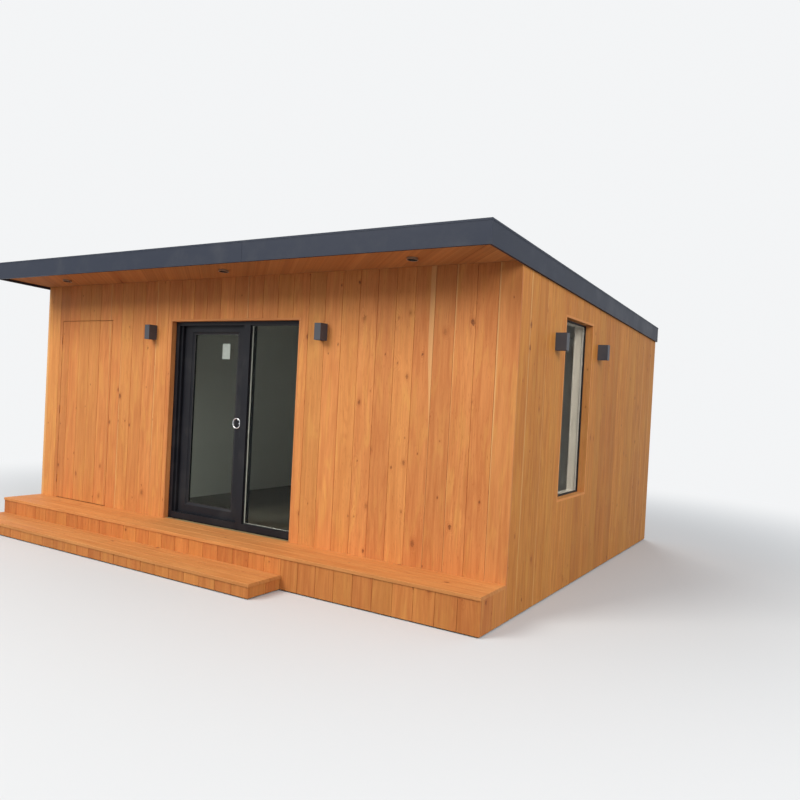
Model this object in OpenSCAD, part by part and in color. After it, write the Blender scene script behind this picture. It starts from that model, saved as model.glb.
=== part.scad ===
// Timber garden office pod with a single-pitch roof, a glazed door with a fixed side pane,
// a hidden clad storage door, one tall side window, wall lamps, a deck and a step.
// Millimetres. The origin is at ground level under the middle of the walls; the front faces -Y.

/* [Walls] */
// Outside width over the cladding
pod_w = 6000; // [5400:10:6400]
// Outside depth over the cladding
pod_d = 4500; // [4100:10:4900]
// Thickness of the cladding boards
clad_t = 20; // [16:2:24]
// Thickness of the wall panels with their white lining
wall_t = 160; // [140:10:180]
// Thickness of the partition between the room and the store
partition_t = 100; // [80:5:120]
// Distance of the partition from the lining of the storage doorway
partition_gap = 126; // [60:2:200]
// Height of the cladding's lower edge over the ground
clad_foot = 12; // [8:1:30]

/* [Floor] */
// Top of the deck and of the floor frame
deck_z = 300; // [280:10:320]
// Thickness of the floor that is laid between the walls
floor_t = 30; // [20:1:40]
// Height of the ground bearers
bearer_h = 100; // [80:10:120]
// Width of a ground bearer
bearer_w = 100; // [80:10:120]
// Number of bearers under the room
bearer_count = 9; // [7:1:11]
// Thickness of a joist
joist_t = 45; // [40:5:50]
// Number of joists under the room and under the deck
joist_count = 11; // [10:1:13]
// Number of joists under the step
step_joist_count = 8; // [7:1:10]
// Number of posts along the deck
post_count = 5; // [4:1:7]
// Number of posts along the step
step_post_count = 4; // [3:1:6]

/* [Roof] */
// Top of the front fascia
roof_z = 2942; // [2900:2:2980]
// Fall of the roof for each millimetre towards the rear
roof_fall = 0.042; // [0.03:0.002:0.05]
// Overhang of the front fascia past the front cladding
overhang = 625; // [500:5:700]
// Height of the fascia boards
fascia_h = 179; // [170:1:200]
// Thickness of the fascia boards
fascia_t = 20; // [15:5:25]
// Thickness of the soffit boards
soffit_t = 14; // [10:1:18]
// How far the fascia hangs below the soffit
fascia_lip = 14; // [8:1:20]
// Height of the fascia over the roof covering
upstand = 10; // [6:1:20]
// Thickness of the roof covering
membrane_t = 5; // [3:1:8]
// Thickness of the ceiling lining
ceiling_t = 12; // [9:1:15]
// Place of the joint in the front fascia
fascia_joint_x = 700; // [-1800:10:1800]
// Depth of the metal edge trim on the fascia's face
trim_h = 14; // [10:1:40]
// Thickness of the edge trim
trim_t = 2; // [1:0.5:3]

/* [Rainwater] */
// Width of the square gutter
gutter_w = 100; // [90:5:120]
// Height of the gutter
gutter_h = 75; // [65:5:90]
// Wall of the gutter and the downpipe
gutter_t = 3; // [2:0.5:4]
// Distance of the gutter's ends from the ends of the walls
gutter_in = 70; // [50:5:150]
// Width of the square downpipe
pipe_w = 65; // [55:5:75]
// Distance of the downpipe's middle from the right-hand end of the walls
pipe_in = 300; // [220:10:500]
// Height of the downpipe's lower end
pipe_foot = 60; // [40:5:150]
// Height of the lower bracket over the downpipe's lower end
bracket_low = 240; // [150:10:400]
// Depth of the upper bracket's foot below the gutter
bracket_high = 400; // [300:10:600]
// Height of a bracket
bracket_h = 30; // [20:2:40]

/* [Glazed door] */
// Left edge of the doorway between its timber linings
door_x0 = -844; // [-900:2:-800]
// Right edge of the doorway
door_x1 = 847; // [820:1:900]
// Top of the doorway
door_z1 = 2340; // [2280:5:2400]
// Depth of the reveal in front of the door frame
reveal = 58; // [50:1:70]
// Thickness of the timber reveal lining
lining_t = 20; // [15:1:25]
// Width of the door frame's members
frame_w = 70; // [60:1:76]
// Depth of the door frame
frame_d = 100; // [90:1:110]
// Depth of the frame's front leg
leg_d = 47; // [45:1:52]
// Bottom of the frame over the deck
frame_foot = 12; // [8:1:20]
// How far the frame's top is hidden behind the lining
head_hidden = 32; // [24:1:40]
// Height of the frame's sill
sill_h = 60; // [52:1:70]
// Width of the set-back stop beside each leaf edge
stop_w = 30; // [20:1:36]
// How far that stop is set back from the frame's face
stop_back = 24; // [18:1:28]
// Left edge of the mullion
mullion_x = 115; // [60:5:200]
// Width of the mullion
mullion_w = 80; // [70:1:90]
// Thickness of the door leaf
leaf_t = 60; // [54:1:64]
// Lap of the frame over the leaf
leaf_lap = 8; // [6:1:12]
// Running gap between the leaf's face and the frame's leg
leaf_gap = 5; // [5:0.5:8]
// Clearance round the leaf's edge in the rebate
rebate_gap = 12; // [10:1:16]
// Width of the leaf's stiles
stile_w = 119; // [100:1:125]
// Height of the leaf's top rail
top_rail = 67; // [60:1:80]
// Height of the leaf's bottom rail
bottom_rail = 90; // [80:1:110]
// Width of the sloped glazing bead
bead_w = 19; // [14:1:24]
// Thickness of the sealed glass units
glass_t = 24; // [20:1:28]
// How far the glass reaches into its groove
glass_edge = 12; // [8:1:15]

/* [Door furniture] */
// Height of the lever's pivot
lever_z = 1340; // [1300:5:1400]
// Distance of the pivot from the leaf's edge
backset = 38; // [35:1:42]
// Radius of the lever's round bow, at the middle of its bar
bow_r = 48; // [40:1:50]
// Distance from the pivot to the middle of the bow
bow_offset = 41; // [36:1:44]
// Thickness of the lever bar
lever_bar = 12; // [10:1:14]
// Distance from the plate to the middle of the lever bar
lever_out = 15; // [13:1:17]
// Height of the handle plate
plate_h = 220; // [200:5:240]
// Width of the handle plate
plate_w = 30; // [26:1:34]
// Thickness of the handle plate
plate_t = 8; // [6:1:10]
// Radius of the lever's spindle
spindle_r = 8; // [6:0.5:9]
// Distance from the pivot down to the lock cylinder
cylinder_drop = 92; // [80:1:100]
// Running clearance of pins and spindles, on the radius
running = 0.05; // [0.02:0.01:0.1]
// Radius of the glazed door's hinge pins
pin_r = 5; // [4:0.5:6]
// Radius of its hinge knuckles
knuckle_r = 9; // [8:0.5:10]
// Height of a hinge
hinge_h = 100; // [80:2:120]
// Thickness of the hinge plates
hinge_t = 3; // [2:0.5:4]
// Number of hinges on the glazed door
door_hinge_count = 3; // [2:1:4]

/* [Storage door] */
// Distance of the storage leaf from the left-hand end of the walls
store_in = 295; // [260:5:400]
// Width of the storage leaf
store_w = 893; // [800:1:940]
// Bottom of the storage leaf
store_z0 = 308; // [306:1:315]
// Top of the storage leaf
store_z1 = 2356; // [2250:2:2400]
// Gap round the storage leaf
store_gap = 6; // [5:0.5:8]
// Thickness of the leaf's panel behind its cladding
store_back = 60; // [40:5:80]
// Radius of the butt hinge knuckles
butt_r = 6; // [5:0.5:7]
// Radius of the butt hinge pins
butt_pin_r = 3; // [2.5:0.5:4]
// Distance of the butt hinge's axis from the cladding's face
butt_out = 7; // [6.5:0.5:9]
// Height of a butt hinge
butt_h = 90; // [70:2:120]
// Number of butt hinges
butt_count = 3; // [2:1:4]

/* [Window] */
// Front edge of the window opening
win_y0 = -1190; // [-1300:5:-1000]
// Rear edge of the window opening
win_y1 = -420; // [-600:5:-300]
// Bottom of the window opening
win_z0 = 847; // [700:1:1000]
// Depth of the window opening's top below the top of the front fascia
win_head = 478; // [440:1:640]
// Depth of the timber reveal in front of the window frame
win_reveal = 70; // [60:1:80]
// Width of the window frame's members, most of it hidden behind the timber
win_frame_w = 28; // [26:1:40]
// Distance of the glass behind the window frame's face
win_glass_back = 11; // [8:1:20]

/* [Lamps] */
// Width of a wall lamp
lamp_w = 70; // [60:5:90]
// Projection of a wall lamp
lamp_out = 100; // [80:5:110]
// Height of a wall lamp
lamp_h = 150; // [120:5:180]
// Top of the wall lamps
lamp_z = 2300; // [2200:10:2350]
// Wall of a lamp's housing
lamp_t = 4; // [3:1:6]
// Depth of the lamp's open ends
lamp_recess = 16; // [8:1:30]
// Distances of the two front lamps from the edges of the doorway, left and right
front_lamp_out = [266, 293];
// Places of the two lamps on the right-hand wall
side_lamp_y = [-1425, -195];
// Radius of a downlight's bezel
light_r = 49; // [44:1:52]
// Thickness of the bezel
bezel_t = 4; // [3:0.5:6]
// Distances of the outer downlights from the ends of the walls, left and right
light_end = [765, 808];
// Place of the middle downlight
light_mid_x = 150; // [-300:5:300]
// Distance of the downlights from the front fascia's face
light_in = 340; // [200:5:420]

/* [Deck and step] */
// Depth of the deck in front of the cladding
deck_d = 446; // [400:2:500]
// Thickness of the deck boards
board_t = 28; // [24:1:32]
// Overhang of the boards over the skirt
nosing = 8; // [5:1:15]
// Depth of the step in front of the deck
step_d = 383; // [300:1:420]
// Top of the step
step_z = 132; // [120:2:160]
// Right-hand end of the step
step_x1 = 1148; // [900:4:1400]

/* [Hidden] */
$fn = 48;
half_w = pod_w / 2;
half_d = pod_d / 2;
panel_x = half_w - clad_t;
panel_y = half_d - clad_t;
room_x = panel_x - wall_t;
room_y = panel_y - wall_t;
floor_z = deck_z + floor_t;

// Roof planes, as heights at a distance y from the middle
front_y = -half_d - overhang;
rear_y = half_d + fascia_t;
function roof_at(y) = roof_z - roof_fall * (y - front_y);
function covering_at(y) = roof_at(y) - upstand;
function panel_top_at(y) = covering_at(y) - membrane_t;
function soffit_at(y) = roof_at(y) - fascia_h + fascia_lip;
function under_at(y) = soffit_at(y) + soffit_t;

// Glazed door, with depths measured back from the cladding's face
frame_x0 = door_x0 - lining_t;
frame_x1 = door_x1 + lining_t;
frame_z0 = deck_z + frame_foot;
frame_z1 = door_z1 + head_hidden;
face_y = -half_d + reveal;
leg_y = face_y + leg_d;
frame_back_y = face_y + frame_d;
leaf_y = leg_y + leaf_gap;
leaf_back_y = leaf_y + leaf_t;
leaf_open_x0 = frame_x0 + frame_w + stop_w;
leaf_open_z0 = frame_z0 + sill_h;
leaf_open_z1 = frame_z1 - frame_w;
leaf_x0 = leaf_open_x0 - leaf_lap;
leaf_x1 = mullion_x + leaf_lap;
leaf_z0 = leaf_open_z0 - leaf_lap;
leaf_z1 = leaf_open_z1 + leaf_lap;
pane_x0 = leaf_x0 + stile_w;
pane_x1 = leaf_x1 - stile_w;
pane_z0 = leaf_z0 + bottom_rail;
pane_z1 = leaf_z1 - top_rail;
pane_y = leaf_y + (leaf_t - glass_t) / 2;
side_x0 = mullion_x + mullion_w;
side_x1 = frame_x1 - frame_w;
side_glass_y = face_y + 25;
pin_x = leaf_x0 - rebate_gap / 2;
pin_y = leaf_back_y + 12;
lever_x = leaf_x1 - backset;
hinge_end = 160;

// Storage door
store_x0 = -half_w + store_in;
store_x1 = store_x0 + store_w;
store_open_x0 = store_x0 - store_gap;
store_open_x1 = store_x1 + store_gap;
store_open_z1 = store_z1 + store_gap;
store_wall_x0 = store_open_x0 - lining_t;
store_wall_x1 = store_open_x1 + lining_t;
store_wall_z1 = store_open_z1 + lining_t;
store_sill_z = deck_z + lining_t;
store_back_z0 = store_sill_z + store_gap;
store_back_y = -panel_y + store_back;
store_stop_y = store_back_y + 5;
store_stop_w = 15;
store_stop_d = 40;
butt_x = store_x0 - store_gap / 2;
butt_y = -half_d - butt_out;
butt_plate_t = 1.5;
butt_plate_d = 36;
butt_end = 220;

// Partition on the room's side of the storage doorway
partition_x0 = store_wall_x1 + partition_gap;
partition_x1 = partition_x0 + partition_t;

// Window
win_z1 = roof_z - win_head;
win_wall_y0 = win_y0 - lining_t;
win_wall_y1 = win_y1 + lining_t;
win_wall_z0 = win_z0 - lining_t;
win_wall_z1 = win_z1 + lining_t;
win_face_x = half_w - win_reveal;
win_glass_x = win_face_x - win_glass_back - glass_t;

// Lamps
front_lamp_x = [door_x0 - front_lamp_out[0], door_x1 + front_lamp_out[1]];
light_x = [-half_w + light_end[0], light_mid_x, half_w - light_end[1]];

// Deck and step
deck_y = -half_d - deck_d;
step_y = deck_y - step_d;
skirt_y = deck_y + nosing;
step_skirt_y = step_y + nosing;
step_end_x = step_x1 - nosing;

dark = "#3b4048";
timber = "#c98a4e";
white = "#f0efec";

// A box between two corners
module span(a, b) {
    translate(a) cube(b - a);
}

// A solid that runs along X, from its outline in Y and Z
module along_x(x0, x1, outline) {
    translate([x0, 0, 0]) rotate([90, 0, 90]) linear_extrude(x1 - x0) polygon(outline);
}

// A slab under a roof plane: y0 to y1, from a flat foot up to a sloped top
module under_roof(x0, x1, y0, y1, z0) {
    along_x(x0, x1, [[y0, z0], [y1, z0], [y1, under_at(y1)], [y0, under_at(y0)]]);
}

// A cylinder along Y between two depths
module rod_y(x, z, y0, y1, r) {
    translate([x, y0, z]) rotate([-90, 0, 0]) cylinder(r = r, h = y1 - y0);
}

// Evenly spaced places from a to b, with both ends
function spread(a, b, count) = [for (i = [0 : count - 1]) a + (b - a) * i / (count - 1)];

// Treated timber underneath: bearers and posts on the ground, rims along the long edges and joists
// from rim to rim. Each platform is its X range, Y range, the heights of its joists, and the
// numbers of its joists and of its posts; the room stands on long bearers instead of posts
step_foot = (step_z - board_t) / 2;
platforms = [
    [-panel_x, panel_x, -panel_y, panel_y, bearer_h, deck_z, joist_count, 0],
    [-panel_x, panel_x, skirt_y + clad_t, -half_d, bearer_h, deck_z - board_t, joist_count,
        post_count],
    [-panel_x, step_end_x - clad_t, step_skirt_y + clad_t, skirt_y, step_foot, step_z - board_t,
        step_joist_count, step_post_count]];

module bearers() {
    color("#9a8a6a") {
        for (y = spread(-panel_y + bearer_w / 2, panel_y - bearer_w / 2, bearer_count))
            span([-panel_x, y - bearer_w / 2, 0], [panel_x, y + bearer_w / 2, bearer_h]);
        for (p = [platforms[1], platforms[2]])
            for (x = spread(p[0] + bearer_w / 2, p[1] - bearer_w / 2, p[7]))
                for (y = [p[2], p[3] - joist_t])
                    span([x - bearer_w / 2, y, 0], [x + bearer_w / 2, y + joist_t, p[4]]);
    }
}

module rim_joists() {
    color("#9a8a6a") for (p = platforms)
        for (y = [p[2], p[3] - joist_t])
            span([p[0], y, p[4]], [p[1], y + joist_t, p[5]]);
}

module joists() {
    color("#9a8a6a") for (p = platforms)
        for (x = spread(p[0] + joist_t / 2, p[1] - joist_t / 2, p[6]))
            span([x - joist_t / 2, p[2] + joist_t, p[4]], [x + joist_t / 2, p[3] - joist_t, p[5]]);
}

// Floor between the walls, with a tongue up to the glazed door's frame and the storage sill
module floor() {
    color("#5a5550") {
        span([-room_x, -room_y, deck_z], [room_x, room_y, floor_z]);
        span([frame_x0, frame_back_y, deck_z], [frame_x1, -room_y, floor_z]);
    }
}

module front_panel(x0, x1, z0) {
    under_roof(x0, x1, -panel_y, -room_y, z0);
}

module front_wall() {
    color(white) {
        front_panel(-panel_x, store_wall_x0, deck_z);
        front_panel(store_wall_x1, frame_x0, deck_z);
        front_panel(frame_x1, panel_x, deck_z);
    }
}

module front_wall_heads() {
    color(white) {
        front_panel(store_wall_x0, store_wall_x1, store_wall_z1);
        front_panel(frame_x0, frame_x1, frame_z1);
    }
}

module left_wall() {
    color(white) under_roof(-panel_x, -room_x, -room_y, room_y, deck_z);
}

module rear_wall() {
    color(white) under_roof(-panel_x, panel_x, room_y, panel_y, deck_z);
}

module right_wall() {
    color(white) {
        under_roof(room_x, panel_x, -room_y, win_wall_y0, deck_z);
        under_roof(room_x, panel_x, win_wall_y1, room_y, deck_z);
    }
}

module right_wall_window() {
    color(white) {
        span([room_x, win_wall_y0, deck_z], [panel_x, win_wall_y1, win_wall_z0]);
        under_roof(room_x, panel_x, win_wall_y0, win_wall_y1, win_wall_z1);
    }
}

// Partition between the room and the store, up to the ceiling
module partition_wall() {
    color(white) along_x(partition_x0, partition_x1, [[-room_y, floor_z], [room_y, floor_z],
        [room_y, under_at(room_y) - ceiling_t], [-room_y, under_at(-room_y) - ceiling_t]]);
}

// Cladding, one board thick, from just over the ground up to the roof panel
module front_cladding() {
    color(timber) difference() {
        under_roof(-half_w, half_w, -half_d, -panel_y, clad_foot);
        span([frame_x0, -half_d - 1, deck_z], [frame_x1, -panel_y + 1, door_z1 + lining_t]);
        span([store_open_x0, -half_d - 1, deck_z], [store_open_x1, -panel_y + 1, store_open_z1]);
    }
}

module left_cladding() {
    color(timber) under_roof(-half_w, -panel_x, -panel_y, panel_y, clad_foot);
}

module rear_cladding() {
    color(timber) under_roof(-half_w, half_w, panel_y, half_d, clad_foot);
}

module right_cladding() {
    color(timber) difference() {
        under_roof(panel_x, half_w, -panel_y, panel_y, clad_foot);
        span([panel_x - 1, win_wall_y0, win_wall_z0], [half_w + 1, win_wall_y1, win_wall_z1]);
    }
}

module ceiling() {
    color(white) along_x(-room_x, room_x, [[-room_y, under_at(-room_y) - ceiling_t],
        [room_y, under_at(room_y) - ceiling_t], [room_y, under_at(room_y)],
        [-room_y, under_at(-room_y)]]);
}

// Insulated roof panel over the walls and the overhang
module roof_panel() {
    y0 = front_y + fascia_t;
    color("#d8cdb4") along_x(-half_w, half_w, [[y0, under_at(y0)], [half_d, under_at(half_d)],
        [half_d, panel_top_at(half_d)], [y0, panel_top_at(y0)]]);
}

// Roof covering, dressed over the rear fascia into the gutter
module roof_membrane() {
    y0 = front_y + fascia_t;
    color("#2f3236") along_x(-half_w, half_w, [[y0, panel_top_at(y0)],
        [rear_y, panel_top_at(rear_y)], [rear_y, covering_at(rear_y)], [y0, covering_at(y0)]]);
}

// Metal trim over the top of the front and side fascias
module edge_trim() {
    outer_x = half_w + fascia_t;
    color(dark) {
        along_x(-outer_x - trim_t, outer_x + trim_t, [[front_y - trim_t, roof_at(front_y) - trim_h],
            [front_y, roof_at(front_y) - trim_h], [front_y, roof_at(front_y)],
            [front_y + fascia_t, roof_at(front_y + fascia_t)],
            [front_y + fascia_t, roof_at(front_y + fascia_t) + trim_t],
            [front_y - trim_t, roof_at(front_y) + trim_t]]);
        for (side = [-1, 1]) {
            edge_x = side * (outer_x + trim_t / 2);
            cap_x = side * (half_w + fascia_t / 2 + trim_t / 2);
            along_x(edge_x - trim_t / 2, edge_x + trim_t / 2,
                [[front_y, roof_at(front_y) - trim_h], [rear_y, roof_at(rear_y) - trim_h],
                [rear_y, roof_at(rear_y) + trim_t], [front_y, roof_at(front_y) + trim_t]]);
            along_x(cap_x - (fascia_t + trim_t) / 2, cap_x + (fascia_t + trim_t) / 2,
                [[front_y + fascia_t, roof_at(front_y + fascia_t)], [rear_y, roof_at(rear_y)],
                [rear_y, roof_at(rear_y) + trim_t],
                [front_y + fascia_t, roof_at(front_y + fascia_t) + trim_t]]);
        }
    }
}

// Front fascia in two lengths that meet at an open joint
module fascia_front() {
    outer_x = half_w + fascia_t;
    joint = 2;
    outline = [[front_y, roof_at(front_y) - fascia_h],
        [front_y + fascia_t, roof_at(front_y + fascia_t) - fascia_h],
        [front_y + fascia_t, roof_at(front_y + fascia_t)], [front_y, roof_at(front_y)]];
    color(dark) {
        along_x(-outer_x, fascia_joint_x - joint / 2, outline);
        along_x(fascia_joint_x + joint / 2, outer_x, outline);
    }
}

module fascia_sides() {
    y0 = front_y + fascia_t;
    outline = [[y0, roof_at(y0) - fascia_h], [rear_y, roof_at(rear_y) - fascia_h],
        [rear_y, roof_at(rear_y)], [y0, roof_at(y0)]];
    color(dark) {
        along_x(-half_w - fascia_t, -half_w, outline);
        along_x(half_w, half_w + fascia_t, outline);
    }
}

module fascia_rear() {
    color(dark) along_x(-half_w, half_w, [[half_d, roof_at(half_d) - fascia_h],
        [rear_y, roof_at(rear_y) - fascia_h], [rear_y, panel_top_at(rear_y)],
        [half_d, panel_top_at(half_d)]]);
}

// Middle of the downlight holes, on the soffit's lower face
light_y = front_y + light_in;
light_body_r = light_r - 5;

module soffit() {
    y0 = front_y + fascia_t;
    color("#a85c22") difference() {
        along_x(-half_w, half_w, [[y0, soffit_at(y0)], [-half_d, soffit_at(-half_d)],
            [-half_d, under_at(-half_d)], [y0, under_at(y0)]]);
        for (x = light_x) at_light(x) translate([0, 0, -soffit_t])
            cylinder(r = light_body_r + 0.5, h = 3 * soffit_t);
    }
}

// Stands a shape on the soffit's lower face, square to its slope
module at_light(x) {
    translate([x, light_y, soffit_at(light_y)]) rotate([-atan(roof_fall), 0, 0]) children();
}

module downlights() {
    color(dark) for (x = light_x) at_light(x) difference() {
        union() {
            translate([0, 0, -bezel_t]) cylinder(r = light_r, h = bezel_t);
            cylinder(r = light_body_r, h = soffit_t - 1);
        }
        translate([0, 0, -bezel_t - 1]) cylinder(r = light_body_r - 3, h = soffit_t - 1);
    }
}

// Square gutter with closed ends, hung on the rear fascia, and its outlet
gutter_z1 = roof_at(rear_y) - upstand - membrane_t - 12;
gutter_z0 = gutter_z1 - gutter_h;
gutter_l = pod_w - 2 * gutter_in;
pipe_x = half_w - pipe_in;
pipe_y = rear_y + gutter_w / 2;

module gutter_base() {
    color(dark) difference() {
        span([-gutter_l / 2, rear_y + gutter_t, gutter_z0],
            [gutter_l / 2, rear_y + gutter_w - gutter_t, gutter_z0 + gutter_t]);
        pipe_core(gutter_z0 - 1, gutter_z0 + gutter_t + 1);
    }
}

module gutter_sides() {
    color(dark) for (y = [rear_y, rear_y + gutter_w - gutter_t])
        span([-gutter_l / 2, y, gutter_z0], [gutter_l / 2, y + gutter_t, gutter_z1]);
}

module gutter_ends() {
    color(dark) for (x = [-gutter_l / 2, gutter_l / 2 - gutter_t])
        span([x, rear_y + gutter_t, gutter_z0 + gutter_t],
            [x + gutter_t, rear_y + gutter_w - gutter_t, gutter_z1]);
}

module pipe_core(z0, z1) {
    r = pipe_w / 2 - gutter_t;
    span([pipe_x - r, pipe_y - r, z0], [pipe_x + r, pipe_y + r, z1]);
}

// Square downpipe
module downpipe() {
    r = pipe_w / 2;
    color(dark) difference() {
        span([pipe_x - r, pipe_y - r, pipe_foot], [pipe_x + r, pipe_y + r, gutter_z0]);
        pipe_core(pipe_foot - 1, gutter_z0 + 1);
    }
}

// Two brackets between the downpipe and the wall
module downpipe_brackets() {
    r = pipe_w / 2;
    color(dark) for (z = [pipe_foot + bracket_low, gutter_z0 - bracket_high])
        span([pipe_x - r, half_d, z], [pipe_x + r, pipe_y - r, z + bracket_h]);
}

// One deep frame for the leaf and the fixed pane: legs in front, rebates behind
module door_frame() {
    rear_x0 = leaf_x0 - rebate_gap;
    rear_x1 = leaf_x1 + rebate_gap;
    color(dark) difference() {
        union() {
            span([frame_x0, face_y, frame_z0], [frame_x1, frame_back_y, frame_z1]);
            span([frame_x0, face_y + 12, deck_z], [frame_x1, frame_back_y, frame_z0]);
        }
        // Opening in front of the leaf, with the stop set back at the hinge side
        span([leaf_open_x0, face_y - 1, leaf_open_z0], [mullion_x, frame_back_y + 1, leaf_open_z1]);
        span([leaf_open_x0 - stop_w, face_y - 1, leaf_open_z0],
            [leaf_open_x0 + 1, face_y + stop_back, leaf_open_z1]);
        // Rebate that the leaf closes into from the room
        span([rear_x0, leg_y, leaf_z0 - rebate_gap],
            [rear_x1, frame_back_y + 1, leaf_z1 + rebate_gap]);
        // Opening and glass groove of the fixed side pane
        span([side_x0, face_y - 1, leaf_open_z0], [side_x1, frame_back_y + 1, leaf_open_z1]);
        side_unit();
    }
}

module side_unit() {
    span([side_x0 - glass_edge, side_glass_y, leaf_open_z0 - glass_edge],
        [side_x1 + glass_edge, side_glass_y + glass_t, leaf_open_z1 + glass_edge]);
}

module sidelight_glass() {
    color([0.6, 0.7, 0.7, 0.4]) side_unit();
}

// Timber boards that line the reveal in front of the frame
module door_lining() {
    color("#d8a56a") difference() {
        span([frame_x0, -half_d, deck_z], [frame_x1, face_y, door_z1 + lining_t]);
        span([door_x0, -half_d - 1, deck_z - 1], [door_x1, face_y + 1, door_z1]);
    }
}

module pane_unit() {
    span([pane_x0 - glass_edge, pane_y, pane_z0 - glass_edge],
        [pane_x1 + glass_edge, pane_y + glass_t, pane_z1 + glass_edge]);
}

// One bead along the whole of a side, with its slope running down to the glass
module bead_side(length) {
    depth = pane_y - leaf_y;
    rise = 3;
    linear_extrude(length) polygon([[0, rise], [0, depth], [bead_w, depth], [bead_w, depth - rise]]);
}

// Four beads round the pane, mitred at the corners
module beads() {
    w = pane_x1 - pane_x0;
    h = pane_z1 - pane_z0;
    translate([pane_x0, leaf_y, pane_z0]) {
        intersection() {
            bead_side(h);
            mitre([[0, 0], [bead_w, bead_w], [bead_w, h - bead_w], [0, h]]);
        }
        intersection() {
            translate([w, 0, 0]) mirror([1, 0, 0]) bead_side(h);
            mitre([[w, 0], [w, h], [w - bead_w, h - bead_w], [w - bead_w, bead_w]]);
        }
        intersection() {
            translate([w, 0, 0]) rotate([0, -90, 0]) bead_side(w);
            mitre([[0, 0], [w, 0], [w - bead_w, bead_w], [bead_w, bead_w]]);
        }
        intersection() {
            translate([0, 0, h]) rotate([0, 90, 0]) bead_side(w);
            mitre([[0, h], [bead_w, h - bead_w], [w - bead_w, h - bead_w], [w, h]]);
        }
    }
}

module mitre(outline) {
    translate([0, leaf_t, 0]) rotate([90, 0, 0]) linear_extrude(leaf_t) polygon(outline);
}

module leaf_bores() {
    rod_y(lever_x, lever_z, leaf_y - 1, leaf_back_y + 1, spindle_r + running);
}

// Door leaf: stiles and rails, a groove for the glass, mitred beads on both faces
module door_leaf() {
    color(dark) {
        difference() {
            span([leaf_x0, leaf_y, leaf_z0], [leaf_x1, leaf_back_y, leaf_z1]);
            span([pane_x0, leaf_y - 1, pane_z0], [pane_x1, leaf_back_y + 1, pane_z1]);
            pane_unit();
            leaf_bores();
        }
        beads();
        translate([0, 2 * leaf_y + leaf_t, 0]) mirror([0, 1, 0]) beads();
    }
}

module door_glass() {
    color([0.5, 0.6, 0.6, 0.4]) pane_unit();
}

// Handle plates on both faces of the leaf, with the lock cylinder through them
module door_plates() {
    cylinder_z = lever_z - cylinder_drop;
    color("#2b2d30") {
        for (y = [leaf_y - plate_t, leaf_back_y]) difference() {
            handle_plate(y);
            rod_y(lever_x, lever_z, y - 1, y + plate_t + 1, spindle_r + running);
        }
        for (y = [leaf_y - plate_t - 4, leaf_back_y + plate_t])
            rod_y(lever_x, cylinder_z, y, y + 4, 8.5);
    }
}

module handle_plate(y) {
    r = plate_w / 2;
    mid_z = lever_z - cylinder_drop / 2;
    reach = plate_h / 2 - r;
    span([lever_x - r, y, mid_z - reach], [lever_x + r, y + plate_t, mid_z + reach]);
    for (z = [mid_z - reach, mid_z + reach]) rod_y(lever_x, z, y, y + plate_t, r);
}

// Both levers on one spindle: each is a round bow that hangs off to the hinge side of the pivot
module door_lever() {
    r = lever_bar / 2;
    front = leaf_y - plate_t - lever_out;
    back = leaf_back_y + plate_t + lever_out;
    color("#c9ccd0") {
        rod_y(lever_x, lever_z, front - r, back + r, spindle_r);
        for (y = [front, back])
            translate([lever_x - bow_offset, y, lever_z]) rotate([90, 0, 0])
                rotate_extrude() translate([bow_r, 0]) circle(r = r);
    }
}

// Leaf halves of the glazed door's hinges: a plate on the inner face and the upper knuckle
module door_hinges() {
    color("#8d9196") for (z = spread(leaf_z0 + hinge_end, leaf_z1 - hinge_end, door_hinge_count))
        difference() {
            union() {
                translate([pin_x, pin_y, z + 0.5]) cylinder(r = knuckle_r, h = hinge_h / 2 - 0.5);
                span([pin_x, leaf_back_y, z + 0.5], [leaf_x0 + 60, leaf_back_y + hinge_t, z + hinge_h / 2]);
                span([pin_x, leaf_back_y, z + 0.5], [pin_x + knuckle_r, pin_y, z + hinge_h / 2]);
            }
            translate([pin_x, pin_y, z]) cylinder(r = pin_r + running, h = hinge_h / 2 + 1);
        }
}

// Frame halves of all hinges, each with its pin
module frame_hinges() {
    plate_x = leaf_x0 - rebate_gap;
    color("#8d9196") {
        for (z = spread(leaf_z0 + hinge_end, leaf_z1 - hinge_end, door_hinge_count)) {
            translate([pin_x, pin_y, z - hinge_h / 2]) cylinder(r = knuckle_r, h = hinge_h / 2);
            translate([pin_x, pin_y, z - 1]) cylinder(r = pin_r, h = hinge_h / 2 + 1);
            span([plate_x - 60, frame_back_y, z - hinge_h / 2], [plate_x, frame_back_y + hinge_t, z]);
            span([plate_x - hinge_t, frame_back_y, z - hinge_h / 2], [plate_x, pin_y, z]);
            span([plate_x - hinge_t, pin_y - hinge_t, z - hinge_h / 2], [pin_x, pin_y, z]);
        }
        for (z = spread(store_z0 + butt_end, store_z1 - butt_end, butt_count)) {
            translate([butt_x, butt_y, z - butt_h / 2]) cylinder(r = butt_r, h = butt_h / 2);
            translate([butt_x, butt_y, z - 1]) cylinder(r = butt_pin_r, h = butt_h / 2 + 1);
            span([store_open_x0, butt_y, z - butt_h / 2],
                [store_open_x0 + butt_plate_t, -half_d + butt_plate_d, z]);
        }
    }
}

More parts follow.
